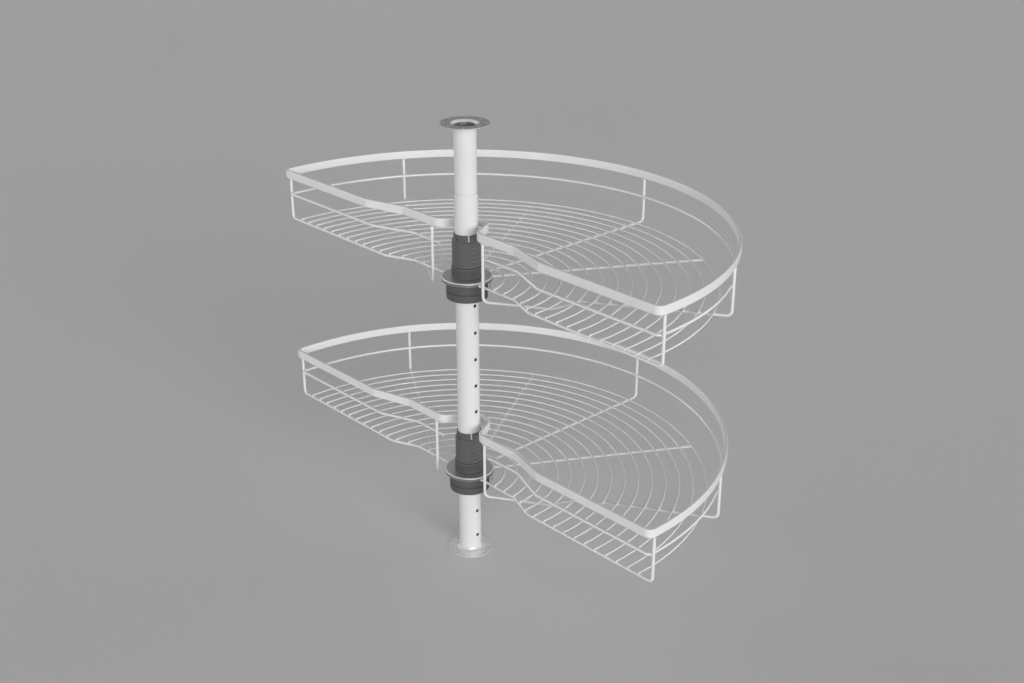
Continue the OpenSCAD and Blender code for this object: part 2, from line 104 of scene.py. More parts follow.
# Details that only the render has
RIM_EDGE_R = 1.1
TIP_LENGTH = 0.6  # a wire's rounded end, as a share of its radius
TIP_STEPS = [(0.97, 0.12), (0.82, 0.32), (0.5, 0.5)]  # share of the radius, share of the tip
LUMP_HEIGHT, LUMP_SCALE, LUMP_SHIFT = 0.12, 1.7, 0.37
# Half axes of the weld nuggets: along the carrying wire or away from it, across, and up
CROSSING_WELD, CROSSING_SINK = (1.8, 1.5, 0.85), 0.1
BRACE_RAIL_WELD = (1.0, 2.1, 2.1)
FRONT_RAIL_WELD, FRONT_RAIL_SIDE, FRONT_RAIL_INSET = (1.0, 2.0, 2.1), (0.94, -0.34), (1.9, 0.7)
HUB_WELD, HUB_WELD_RISE = (2.2, 2.9, 2.35), 0.2
SPOKE_WELD_GAP, FRONT_WELD_GAP = 0.4, 0.3
HUB_MARGIN, TIP_MARGIN, BEND_MARGIN = 2.0, 1.0, 2.0
# The fillet of an upright under the rim: radius, height
UPRIGHT_WELD = [(0.4, 0.15), (3.1, 0.1), (2.75, -0.35), (2.35, -1.0), (2.08, -1.9), (1.9, -2.6)]


# ---------------------------------------------------------------- materials

WHITE = (1.0, 1.0, 1.0)
BASKET_TONE, TUBE_TONE = (0.735, 0.74, 0.745), (0.69, 0.695, 0.7)
ZINC_TONE, GREY_ZINC_TONE = (0.69, 0.697, 0.704), (0.457, 0.457, 0.465)
ZINC_METALLIC, GREY_ZINC_METALLIC, MATT_METALLIC = 0.85, 0.75, 0.25
STEEL_ROUGH, PLASTIC_ROUGH, PLASTIC_SPECULAR = (0.34, 0.42), (0.45, 0.58), 0.3
# Most of a noise texture lies between these
NOISE_LOW, NOISE_HIGH = 0.3, 0.7


def tree(name):
    m = bpy.data.materials.new(name)
    m.use_nodes = True
    nt = m.node_tree
    bsdf = nt.nodes["Principled BSDF"]
    coord = nt.nodes.new("ShaderNodeTexCoord")
    return m, nt, bsdf, coord.outputs["Object"]


def noise_node(nt, vector, scale, detail=3.0, rough=0.5):
    n = nt.nodes.new("ShaderNodeTexNoise")
    n.inputs["Scale"].default_value = scale
    n.inputs["Detail"].default_value = detail
    n.inputs["Roughness"].default_value = rough
    nt.links.new(vector, n.inputs["Vector"])
    return n.outputs["Fac"]


def ramp(nt, fac, stops):
    """A colour that follows a factor, from (position, colour) stops."""
    r = nt.nodes.new("ShaderNodeValToRGB")
    els = r.color_ramp.elements
    while len(els) < len(stops):
        els.new(0.5)
    for e, (p, c) in zip(els, stops):
        e.position = p
        e.color = (*c, 1.0)
    nt.links.new(fac, r.inputs["Fac"])
    return r.outputs["Color"]


def greys(stops):
    """Colour stops from (position, grey) pairs."""
    return [(p, (g, g, g)) for p, g in stops]


def spread(nt, fac, low, high, from_low=NOISE_LOW, from_high=NOISE_HIGH):
    """A factor stretched to the range from low to high."""
    m = nt.nodes.new("ShaderNodeMapRange")
    m.inputs["From Min"].default_value = from_low
    m.inputs["From Max"].default_value = from_high
    m.inputs["To Min"].default_value = low
    m.inputs["To Max"].default_value = high
    nt.links.new(fac, m.inputs["Value"])
    return m.outputs["Result"]


def blend(nt, a, b, how="MULTIPLY"):
    m = nt.nodes.new("ShaderNodeMix")
    m.data_type = "RGBA"
    m.blend_type = how
    m.inputs["Factor"].default_value = 1.0
    nt.links.new(a, m.inputs["A"])
    nt.links.new(b, m.inputs["B"])
    return m.outputs["Result"]


def clouded(nt, obj, tone, dark, scale, detail, rough=0.5):
    """A tone that drifts between a darker share of itself and its full value."""
    cloud = noise_node(nt, obj, scale, detail, rough)
    return ramp(nt, cloud, [(NOISE_LOW, tuple(dark * c for c in tone)), (NOISE_HIGH, tone)])


def patchy_roughness(nt, obj, bsdf, rough, scale, detail=3.0):
    """Roughness that wanders between two values."""
    nt.links.new(spread(nt, noise_node(nt, obj, scale, detail), *rough), bsdf.inputs["Roughness"])


def bumps(nt, bsdf, layers):
    """Stacks bump layers of (height, strength, distance in metres)."""
    last = None
    for height, strength, distance in layers:
        b = nt.nodes.new("ShaderNodeBump")
        b.inputs["Strength"].default_value = strength
        b.inputs["Distance"].default_value = distance
        nt.links.new(height, b.inputs["Height"])
        if last is not None:
            nt.links.new(last, b.inputs["Normal"])
        last = b.outputs["Normal"]
    nt.links.new(last, bsdf.inputs["Normal"])


def radius_vector(nt, vector, scale):
    """The distance from the column's axis and the height, scaled: rings of a turned part."""
    sep = nt.nodes.new("ShaderNodeSeparateXYZ")
    nt.links.new(vector, sep.inputs["Vector"])
    flat = nt.nodes.new("ShaderNodeCombineXYZ")
    nt.links.new(sep.outputs["X"], flat.inputs["X"])
    nt.links.new(sep.outputs["Y"], flat.inputs["Y"])
    length = nt.nodes.new("ShaderNodeVectorMath")
    length.operation = "LENGTH"
    nt.links.new(flat.outputs["Vector"], length.inputs[0])
    out = nt.nodes.new("ShaderNodeCombineXYZ")
    nt.links.new(length.outputs["Value"], out.inputs["X"])
    nt.links.new(sep.outputs["Z"], out.inputs["Y"])
    m = nt.nodes.new("ShaderNodeVectorMath")
    m.operation = "SCALE"
    m.inputs["Scale"].default_value = scale
    nt.links.new(out.outputs["Vector"], m.inputs[0])
    return m.outputs["Vector"]


def by_radius(nt, obj, stops):
    """A grey that depends on the distance from the column's axis, from (millimetres, grey)."""
    sep = nt.nodes.new("ShaderNodeSeparateXYZ")
    nt.links.new(radius_vector(nt, obj, 1.0), sep.inputs["Vector"])
    low, high = stops[0][0], stops[-1][0]
    fac = spread(nt, sep.outputs["X"], 0.0, 1.0, low * MM, high * MM)
    return ramp(nt, fac, greys([((r - low) / (high - low), g) for r, g in stops]))


def at_height(nt, obj, height, within=0.05):
    """1 on the level face at a height in millimetres, 0 elsewhere."""
    sep = nt.nodes.new("ShaderNodeSeparateXYZ")
    nt.links.new(obj, sep.inputs["Vector"])
    m = nt.nodes.new("ShaderNodeMath")
    m.operation = "COMPARE"
    m.inputs[1].default_value = height * MM
    m.inputs[2].default_value = within * MM
    nt.links.new(sep.outputs["Z"], m.inputs[0])
    return m.outputs["Value"]


def powder_paint(name, tone, rough, coat, gloss, peel=900.0, bore_shade=None):
    """Light silver powder coat: orange peel, faint clouding and fine flake.

    The darkening by radius is painted shade inside the tube's bore and on the inner part of its end
    face.
    """
    m, nt, bsdf, obj = tree(name)
    cloud = clouded(nt, obj, tone, dark=0.965, scale=22.0, detail=4.0)
    grain = noise_node(nt, obj, scale=1500.0, detail=1.0)
    flake = ramp(nt, grain, [(0.28, (0.93, 0.93, 0.935)), (0.4, WHITE)])
    colour = blend(nt, cloud, flake)
    # Painted shade: the bore and the inner part of the end face darkened by radius
    if bore_shade:
        colour = blend(nt, colour, by_radius(nt, obj, bore_shade))
    nt.links.new(colour, bsdf.inputs["Base Color"])
    patchy_roughness(nt, obj, bsdf, rough, scale=160.0)
    bsdf.inputs["Metallic"].default_value = 0.0
    bsdf.inputs["Coat Weight"].default_value = coat
    bsdf.inputs["Coat Roughness"].default_value = gloss
    bumps(nt, bsdf, [
        (noise_node(nt, obj, scale=peel, detail=2.0), 0.08, 0.0003),
        (noise_node(nt, obj, scale=140.0, detail=2.0), 0.03, 0.0005),
    ])
    return m


def pressed_steel(name, tone, metallic, depth=0.015, face=None, shade_and_highlight=None, shine=None):
    """Pressed, zinc-plated steel: fine rings round the column's axis and zinc clouding.

    face is the height of the one level face that is metallic, the rest being pale matt zinc.
    The tone's factor by radius is painted shade and painted highlight on rings of the part; shine
    (metallic) depends on the radius.
    """
    m, nt, bsdf, obj = tree(name)
    rings = noise_node(nt, radius_vector(nt, obj, 350.0), scale=1.0, rough=0.6)
    cloud = clouded(nt, obj, tone, dark=0.88, scale=60.0, detail=5.0, rough=0.6)
    colour = blend(nt, cloud, ramp(nt, rings, greys([(0.35, 0.93), (0.6, 1.0)])))
    # Painted shade and painted highlight: the tone darkened or lightened ring by ring round the
    # axis
    if shade_and_highlight:
        colour = blend(nt, colour, by_radius(nt, obj, shade_and_highlight))
    if face is not None:
        metal = spread(nt, at_height(nt, obj, face), MATT_METALLIC, metallic, 0.0, 1.0)
        nt.links.new(metal, bsdf.inputs["Metallic"])
    elif shine:
        nt.links.new(by_radius(nt, obj, shine), bsdf.inputs["Metallic"])
    else:
        bsdf.inputs["Metallic"].default_value = metallic
    nt.links.new(colour, bsdf.inputs["Base Color"])
    patchy_roughness(nt, obj, bsdf, STEEL_ROUGH, scale=240.0, detail=4.0)
    bumps(nt, bsdf, [
        (rings, depth, 0.0002),
        (noise_node(nt, obj, scale=420.0), 0.03, 0.0003),
    ])
    return m


def moulded(name, tone, rough=PLASTIC_ROUGH, depth=0.12, ridge_shade_and_highlight=None):
    """Injection-moulded plastic: fine spark-eroded grain and slight flow clouding.

    The tone's factor by radius is painted light on ridged parts: lighter ridge and rib faces as
    painted highlight, darker grooves as painted shade.
    """
    m, nt, bsdf, obj = tree(name)
    cloud = clouded(nt, obj, tone, dark=0.93, scale=45.0, detail=4.0)
    grain = noise_node(nt, obj, scale=2200.0, detail=2.0)
    speck = ramp(nt, grain, greys([(0.3, 0.9), (0.6, 1.0)]))
    colour = blend(nt, cloud, speck)
    # Painted highlight and painted shade: the tone changed ring by ring round the axis
    if ridge_shade_and_highlight:
        colour = blend(nt, colour, by_radius(nt, obj, ridge_shade_and_highlight))
    nt.links.new(colour, bsdf.inputs["Base Color"])
    patchy_roughness(nt, obj, bsdf, rough, scale=300.0)
    bsdf.inputs["Specular IOR Level"].default_value = PLASTIC_SPECULAR
    bumps(nt, bsdf, [
        (noise_node(nt, obj, scale=2600.0, detail=2.0), depth, 0.00012),
        (noise_node(nt, obj, scale=90.0, detail=2.0), 0.03, 0.0005),
    ])
    return m


PAINT = powder_paint("silver_powder_coat", BASKET_TONE, rough=(0.3, 0.42), coat=0.3, gloss=0.2)
WIRE_PAINT = powder_paint("silver_wire_coat", BASKET_TONE, rough=(0.26, 0.36), coat=1.0, gloss=0.16)
TUBE = {"tone": TUBE_TONE, "rough": (0.28, 0.38), "coat": 0.6, "gloss": 0.1, "peel": 700.0}
# Both tubes: the bore and the inner end face at 0.3 of the tone, painted shade
OUTER_TUBE = powder_paint(
    "silver_tube_coat", bore_shade=[(15.0, 0.3), (15.5, 0.3), (15.9, 1.0), (16.5, 1.0)], **TUBE)
INNER_TUBE = powder_paint(
    "silver_slide_coat", bore_shade=[(13.5, 0.3), (14.5, 0.3), (14.9, 1.0), (15.5, 1.0)], **TUBE)
ZINC = {"tone": ZINC_TONE, "metallic": ZINC_METALLIC, "depth": 0.006}
NUT = pressed_steel("bright_zinc", **ZINC)
# The plate at 1.32 against the neck's 1.0 is painted sheen; the outer edge at 0.9 is painted shade
BASE_FLANGE = pressed_steel(
    "bright_zinc_base", face=FLANGE_T,
    shade_and_highlight=[(19.0, 1.0), (20.0, 1.32), (32.9, 1.32), (33.0, 0.9)], **ZINC)
# The bore at 0.22 is painted shade, the mouth's fillet at 1.3 is painted highlight, and the plate
# at 0.7 is painted shade
TOP_FLANGE = pressed_steel(
    "bright_zinc_top", face=COLUMN_H,
    shade_and_highlight=[(13.5, 0.22), (15.0, 0.22), (15.12, 1.3), (18.8, 1.3), (19.3, 0.7), (33.0, 0.7)], **ZINC)
SCREW = pressed_steel("grey_zinc", GREY_ZINC_TONE, GREY_ZINC_METALLIC)
# The disc's rounded rim, up to 1.55 times lighter, is painted highlight; its side at 0.65 is
# painted shade
DISC = pressed_steel(
    "grey_zinc_plate", GREY_ZINC_TONE, GREY_ZINC_METALLIC,
    shade_and_highlight=[(32.6, 1.0), (33.3, 1.5), (34.8, 1.55), (34.97, 0.65), (35.5, 0.65)],
    shine=[(32.6, 0.75), (33.3, 0.3), (34.8, 0.2), (34.97, 0.75), (35.5, 0.75)])
PLASTIC = moulded("dark_grey_plastic", (0.093, 0.093, 0.0955))
# The ridges' outer faces at 1.45 are painted highlight lines; the tone is at 0.95 inside 19 mm
COLLAR = moulded(
    "dark_grey_collar", (0.111, 0.111, 0.1135),
    ridge_shade_and_highlight=[(19.0, 0.95), (19.68, 1.0), (19.75, 1.45), (20.5, 1.45)])
# The groove bottoms at 0.6 are painted shade; the rib tips, up to 1.08, are painted highlight
KNURL = moulded(
    "dark_grey_knurl", (0.116, 0.116, 0.1185),
    ridge_shade_and_highlight=[(19.0, 1.0), (19.7, 1.0), (19.76, 0.6), (19.84, 0.6), (19.92, 0.95), (20.75, 1.08)])
NYLON = moulded("white_nylon", (0.72, 0.72, 0.69), rough=(0.34, 0.46), depth=0.08)

BY_SLOT = {
    "basket_paint": PAINT,
    "tube_paint": OUTER_TUBE,
    "flange_steel": NUT,
    "plate_steel": SCREW,
    "dark_plastic": PLASTIC,
    "white_nylon": NYLON,
}
BY_NODE = {"inner_tube": INNER_TUBE, "base_flange": BASE_FLANGE, "top_flange": TOP_FLANGE}
for tier in FLOOR_Z:
    BY_NODE.update({
        f"{tier}_collet": COLLAR,
        f"{tier}_clamp_ring": KNURL,
        f"{tier}_hub_disc": DISC,
    })


# ---------------------------------------------------------------- meshes


def add_mesh(name, shape, material, body, sharp=SHARP_ANGLE):
    """A new piece from a shape in millimetres, riding on a CAD body."""
    mesh = bpy.data.meshes.new(name)
    mesh.from_pydata([tuple(MM * c for c in v) for v in shape.verts], [], shape.faces)
    bm = bmesh.new()
    bm.from_mesh(mesh)
    bmesh.ops.recalc_face_normals(bm, faces=bm.faces)
    bm.to_mesh(mesh)
    bm.free()
    mesh.polygons.foreach_set("use_smooth", [True] * len(mesh.polygons))
    mesh.set_sharp_from_angle(angle=math.radians(sharp))
    mesh.materials.append(material)
    obj = bpy.data.objects.new(name, mesh)
    bpy.context.scene.collection.objects.link(obj)
    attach(obj, body)
    return obj


class Shape:
    """Vertices and faces gathered from several swept or turned forms."""

    def __init__(self, *forms):
        self.verts, self.faces = [], []
        for form in forms:
            self.add(*form)

    def add(self, verts, faces):
        n = len(self.verts)
        self.verts += [tuple(float(c) for c in v) for v in verts]
        self.faces += [tuple(n + i for i in f) for f in faces]


def unit(v):
    v = np.asarray(v, float)
    return v / np.linalg.norm(v)


def across(v):
    """The level direction a quarter turn to the left of a level one."""
    return np.array([-v[1], v[0], 0.0])


def mirror_x(pts):
    return [np.array([-p[0], p[1], p[2]]) for p in pts]


def rounded_path(pts, bends, step=BEND_STEP):
    """Points along straight runs joined by arcs of the given radii."""
    pts = [np.asarray(p, float) for p in pts]
    out = [pts[0]]
    for i in range(1, len(pts) - 1):
        u, v = unit(pts[i] - pts[i - 1]), unit(pts[i + 1] - pts[i])
        turn = math.acos(max(-1.0, min(1.0, float(u @ v))))
        r = bends[i - 1]
        start = pts[i] - u * (r * math.tan(turn / 2))
        centre = pts[i] + unit(v - u) * r / math.cos(turn / 2)
        spoke = start - centre
        n = max(2, int(math.ceil(math.degrees(turn) / step)))
        for k in range(n + 1):
            a = turn * k / n
            out.append(centre + spoke * math.cos(a) + u * r * math.sin(a))
    out.append(pts[-1])
    return out


def arc_points(centre, r, start, end, step):
    """Points on a level arc between two angles in degrees."""
    n = max(2, int(math.ceil(abs(end - start) / step)))
    out = []
    for k in range(n + 1):
        a = math.radians(start + (end - start) * k / n)
        out.append(np.array([centre[0] + r * math.cos(a), centre[1] + r * math.sin(a), centre[2]]))
    return out


def without_repeats(path, closed=False):
    out = [path[0]]
    for p in path[1:]:
        if np.linalg.norm(p - out[-1]) > SAME_POINT:
            out.append(p)
    if closed and np.linalg.norm(out[0] - out[-1]) < SAME_POINT:
        out.pop()
    return out


def tube(path, r, sides=WIRE_SIDES):
    """A round wire along a path, with rounded cut ends."""
    path = without_repeats(path)
    n = len(path)
    tangents = []
    for i in range(n):
        before = path[i] - path[i - 1] if i else path[1] - path[0]
        after = path[i + 1] - path[i] if i < n - 1 else path[-1] - path[-2]
        tangents.append(unit(unit(before) + unit(after)))
    steep = abs(tangents[0][2]) >= STEEP
    side = unit(np.cross(np.array([1.0, 0, 0]) if steep else UP, tangents[0]))

    # Rings of (centre, tangent, side, radius, offset along the tangent)
    frames = []
    for point, tangent in zip(path, tangents):
        side = unit(side - tangent * float(side @ tangent))
        frames.append((point, tangent, side))
    tip = r * TIP_LENGTH
    rings = [(*frames[0], r * c, tip * (0.5 - o)) for c, o in reversed(TIP_STEPS)]
    rings.append((*frames[0], r, tip * 0.5))
    rings += [(*f, r, 0.0) for f in frames[1:-1]]
    rings.append((*frames[-1], r, -tip * 0.5))
    rings += [(*frames[-1], r * c, -tip * (0.5 - o)) for c, o in TIP_STEPS]

    verts, faces = [], []
    for centre, t, s, radius, offset in rings:
        b = np.cross(t, s)
        for k in range(sides):
            a = 2 * math.pi * k / sides
            verts.append(centre + t * offset + (s * math.cos(a) + b * math.sin(a)) * radius)
    for i in range(len(rings) - 1):
        for k in range(sides):
            a, b = i * sides + k, i * sides + (k + 1) % sides
            faces.append((a, b, b + sides, a + sides))
    faces.append(tuple(range(sides))[::-1])
    faces.append(tuple(range((len(rings) - 1) * sides, len(rings) * sides)))
    return verts, faces


def band(path, profile):
    """A closed level loop with an upright profile of (outwards, up) points."""
    path = without_repeats(path, closed=True)
    n, m = len(path), len(profile)
    verts, faces = [], []
    for i in range(n):
        after = unit(path[(i + 1) % n] - path[i])
        t = unit(unit(path[i] - path[i - 1]) + after)
        out = np.array([t[1], -t[0], 0.0])
        mitre = 1.0 / max(MITRE_LIMIT, float(t @ after))
        for x, z in profile:
            verts.append(path[i] + out * x * mitre + np.array([0, 0, z]))
    for i in range(n):
        j = (i + 1) % n
        for k in range(m):
            after = (k + 1) % m
            faces.append((i * m + k, i * m + after, j * m + after, j * m + k))
    return verts, faces


def round_box(w, h, r):
    """Outline of a rectangle with rounded corners, anticlockwise."""
    x, y = w / 2 - r, h / 2 - r
    pts = []
    for cx, cy, start in ((x, y, 0), (-x, y, 90), (-x, -y, 180), (x, -y, 270)):
        for k in range(RIM_EDGE_STEPS + 1):
            a = math.radians(start + 90 * k / RIM_EDGE_STEPS)
            pts.append((cx + r * math.cos(a), cy + r * math.sin(a)))
    return pts


def turned(profile, centre):
    """A form of revolution: a profile of (radius, height) points about an upright axis."""
    n = COLLAR_SIDES
    verts, faces = [], []
    for r, z in profile:
        for k in range(n):
            a = 2 * math.pi * k / n
            verts.append((centre[0] + math.sin(a) * r, centre[1] - math.cos(a) * r, centre[2] + z))
    for i in range(len(profile) - 1):
        for k in range(n):
            a, b = i * n + k, i * n + (k + 1) % n
            faces.append((a, b, b + n, a + n))
    return verts, faces


def nugget(centre, x_axis, y_axis, z_axis):
    """A small weld nugget: a lumpy ellipsoid with the three half axes given."""
    bm = bmesh.new()
    bmesh.ops.create_icosphere(bm, subdivisions=2, radius=1.0)
    c = np.asarray(centre, float)
    verts = []
    for v in bm.verts:
        p = np.array(v.co)
        lump = 1.0 + LUMP_HEIGHT * noise.noise(Vector(p * LUMP_SCALE + c * LUMP_SHIFT))
        verts.append(c + lump * (p[0] * x_axis + p[1] * y_axis + p[2] * z_axis))
    faces = [tuple(v.index for v in f.verts) for f in bm.faces]
    bm.free()
    return verts, faces


# ---------------------------------------------------------------- basket


def corner_x(big, y, r):
    """Centre of the fillet between the big arc and a front line at y."""
    return math.sqrt((big - r) ** 2 - (y + r + ARC_OFFSET) ** 2)


def corner_turn(big, y, r):
    """Angle at which that fillet runs into the big arc."""
    return math.degrees(math.atan2(y + r + ARC_OFFSET, corner_x(big, y, r)))


def post_x():
    """The corner upright, which touches the rail's corner from outside."""
    xc = corner_x(RAIL_R, RAIL_FRONT_Y, RAIL_CORNER_R)
    reach = RAIL_CORNER_R + 2 * WIRE_R
    return xc + math.sqrt(reach**2 - (WIRE_FRONT_Y - RAIL_FRONT_Y - RAIL_CORNER_R) ** 2)


POST_X = post_x()


def front_wire_y(x):
    """The front wire's line, without its rounded bends."""
    if x > WIRE_BEND_OUT:
        return WIRE_FRONT_Y
    if x < WIRE_BEND_IN:
        return WIRE_INNER_Y
    rise, run = WIRE_FRONT_Y - WIRE_INNER_Y, WIRE_BEND_OUT - WIRE_BEND_IN
    return WIRE_INNER_Y + rise * (x - WIRE_BEND_IN) / run


def rim_path(z):
    """The rim's closed centre line, anticlockwise from the right front corner."""
    r = RIM_CORNER_R
    xc, turn = corner_x(RIM_MID, RIM_FRONT_Y, r), corner_turn(RIM_MID, RIM_FRONT_Y, r)
    touch = (math.degrees(math.atan2(RIM_INNER_Y, NOTCH_MOUTH))
             + math.degrees(math.acos(NOTCH_R / math.hypot(NOTCH_MOUTH, RIM_INNER_Y))))
    touch_x = NOTCH_R * math.cos(math.radians(touch))
    touch_y = NOTCH_R * math.sin(math.radians(touch))
    front = rounded_path(
        [[xc, RIM_FRONT_Y, z], [RIM_BEND_OUT, RIM_FRONT_Y, z], [RIM_BEND_IN, RIM_INNER_Y, z],
         [NOTCH_MOUTH, RIM_INNER_Y, z], [touch_x, touch_y, z]],
        [RIM_WAVE_R, RIM_WAVE_R, NOTCH_BEND_R])
    notch = arc_points((0, 0, z), NOTCH_R, touch, 180 - touch, NOTCH_STEP)
    corner = arc_points((xc, RIM_FRONT_Y + r, z), r, -90, turn, BEND_STEP)
    big = arc_points((0, -ARC_OFFSET, z), RIM_MID, turn, 180 - turn, BIG_ARC_STEP)
    left_corner = mirror_x(corner)[::-1]
    return (corner + big[1:] + left_corner[1:] + mirror_x(front)[1:]
            + notch[::-1][1:] + front[::-1][1:-1])


def rail_path(z):
    r = RAIL_CORNER_R
    xc, turn = corner_x(RAIL_R, RAIL_FRONT_Y, r), corner_turn(RAIL_R, RAIL_FRONT_Y, r)
    front = rounded_path(
        [[xc, RAIL_FRONT_Y, z], [RAIL_BEND_OUT, RAIL_FRONT_Y, z], [RAIL_BEND_IN, -RAIL_INNER, z],
         [RAIL_END_X, -RAIL_INNER - RAIL_END_STEP, z]],
        [WAVE_BEND_R, WAVE_BEND_R], step=RAIL_BEND_STEP)
    corner = arc_points((xc, RAIL_FRONT_Y + r, z), r, -90, turn, RAIL_CORNER_STEP)
    big = arc_points((0, -ARC_OFFSET, z), RAIL_R, turn, 180 - turn, BIG_ARC_STEP)
    return front[::-1] + corner[1:] + big[1:] + mirror_x(corner)[::-1][1:] + mirror_x(front)[1:]


def front_wire_path(z):
    """The right front wire: down its upright, along the front and in to the hub disc."""
    top, level = z + RIM_BOTTOM, z + WIRE_Z
    return rounded_path(
        [[POST_X, WIRE_FRONT_Y, top], [POST_X, WIRE_FRONT_Y, level],
         [WIRE_BEND_OUT, WIRE_FRONT_Y, level], [WIRE_BEND_IN, WIRE_INNER_Y, level],
         [HUB_X, WIRE_INNER_Y, level]],
        [WIRE_BEND_R, WAVE_BEND_R, WAVE_BEND_R])


def floor_end_angle(r):
    """Where a floor wire ends, a little past the front wire."""
    return math.degrees(math.asin((front_wire_y(r) - FLOOR_OVERHANG + ARC_OFFSET) / r))


def floor_wire_path(r, z):
    a = floor_end_angle(r)
    step = FLOOR_STEP if r > INNER_FLOOR_BELOW_R else INNER_FLOOR_STEP
    return arc_points((0, -ARC_OFFSET, z), r, a, 180 - a, step)


# The right brace's uprights in plan, and its direction from the notch to the rim
BRACE_OUTER = np.array([RIM_MID * BRACE_SIN, RIM_MID * BRACE_COS - ARC_OFFSET, 0.0])
BRACE_INNER = np.array([BRACE_INNER_X, RIM_INNER_Y - BRACE_INSET, 0.0])
BRACE_ALONG = unit(BRACE_OUTER - BRACE_INNER)


def brace_path(z):
    """The right brace: down from the rim, level under the floor, dropped towards the notch."""
    outer, inner, along = BRACE_OUTER, BRACE_INNER, BRACE_ALONG
    top, level, low = z + RIM_BOTTOM, z + WIRE_Z, z + WIRE_Z - BRACE_DROP
    return rounded_path(
        [outer + UP * top, outer + UP * level, inner + along * BRACE_END + UP * level,
         inner + along * BRACE_START + UP * low, inner + UP * low, inner + UP * top],
        [WIRE_BEND_R, BRACE_WAVE_R, BRACE_WAVE_R, WIRE_BEND_R])


def back_support_path(z):
    top, level = z + RIM_BOTTOM, z + WIRE_Z
    return rounded_path([[0, BACK_Y, top], [0, BACK_Y, level], [0, DISC_R + RUN_GAP, level]],
                        [WIRE_BEND_R])


def spoke_path(v, z):
    level = UP * (z + WIRE_Z)
    return [v * (DISC_R + RUN_GAP) + level, v * SPOKE_REACH + level]


def circle_hit(origin, d, r):
    """Where the ray origin + t d leaves the circle of radius r about the arcs' centre."""
    o = np.array([origin[0], origin[1] + ARC_OFFSET])
    v = np.array([d[0], d[1]])
    b, c = float(o @ v), float(o @ o) - r * r
    return -b + math.sqrt(b * b - c)


def weld_floor(shape, z):
    """Nuggets where the floor wires cross what carries them."""
    long, wide, high = CROSSING_WELD

    def crossing(x, y, direction):
        a = unit([direction[0], direction[1], 0.0])
        at = [x, y, z - FLOOR_WIRE_R - CROSSING_SINK]
        shape.add(*nugget(at, a * long, across(a) * wide, UP * high))

    d = BRACE_ALONG
    for r in FLOOR_RADII:
        crossing(0, r - ARC_OFFSET, (0, 1))
        for v in SPOKES:
            t = circle_hit((0, 0), v, r)
            if DISC_R + HUB_MARGIN < t < SPOKE_REACH - TIP_MARGIN:
                crossing(t * v[0], t * v[1], v)
        t = circle_hit(BRACE_INNER, d, r)
        if BRACE_END + BEND_MARGIN < t:
            p = BRACE_INNER + d * t
            crossing(p[0], p[1], d)
            crossing(-p[0], p[1], (-d[0], d[1]))
        a = math.radians(floor_end_angle(r))
        x, y = r * math.cos(a), r * math.sin(a) - ARC_OFFSET
        for side in (-1, 1):
            crossing(side * x, y + FLOOR_OVERHANG, (1, 0))


def weld_rail(shape, z):
    """Nuggets between the rail and its uprights."""
    rail = z + RAIL_H
    near, wide, high = BRACE_RAIL_WELD
    x, y = BRACE_OUTER[0], BRACE_OUTER[1]
    for at, away in (((0, BACK_Y), (0, 1)), ((x, y), (BRACE_SIN, BRACE_COS)),
                     ((-x, y), (-BRACE_SIN, BRACE_COS))):
        n = unit([*away, 0.0])
        centre = np.array([*at, rail]) - n * WIRE_R
        shape.add(*nugget(centre, n * near, across(n) * wide, UP * high))
    near, wide, high = FRONT_RAIL_WELD
    for side in (-1, 1):
        centre = np.array([side * (POST_X - FRONT_RAIL_INSET[0]),
                           WIRE_FRONT_Y - FRONT_RAIL_INSET[1], rail])
        n = unit([side * FRONT_RAIL_SIDE[0], FRONT_RAIL_SIDE[1], 0.0])
        shape.add(*nugget(centre, n * near, across(n) * wide, UP * high))


def weld_uprights(shape, z):
    """Fillets between the uprights and the rim's underside."""
    tops = [(0, BACK_Y)]
    for x, y in ((BRACE_OUTER[0], BRACE_OUTER[1]), (BRACE_INNER[0], BRACE_INNER[1]),
                 (POST_X, WIRE_FRONT_Y)):
        tops += [(x, y), (-x, y)]
    for x, y in tops:
        shape.add(*turned(UPRIGHT_WELD, (x, y, z + RIM_BOTTOM)))


def weld_hub(shape, z):
    """Nuggets where the support wires meet the hub disc."""
    near, wide, high = HUB_WELD
    rise = z + WIRE_Z + HUB_WELD_RISE
    for v in [np.array([0, 1.0, 0])] + SPOKES:
        centre = v * (DISC_R + SPOKE_WELD_GAP) + UP * rise
        shape.add(*nugget(centre, v * near, np.cross(UP, v) * wide, UP * high))
    for side in (-1, 1):
        centre = np.array([side * (HUB_X + FRONT_WELD_GAP), WIRE_INNER_Y, rise])
        shape.add(*nugget(centre, np.array([near, 0, 0]), np.array([0, wide, 0]), UP * high))


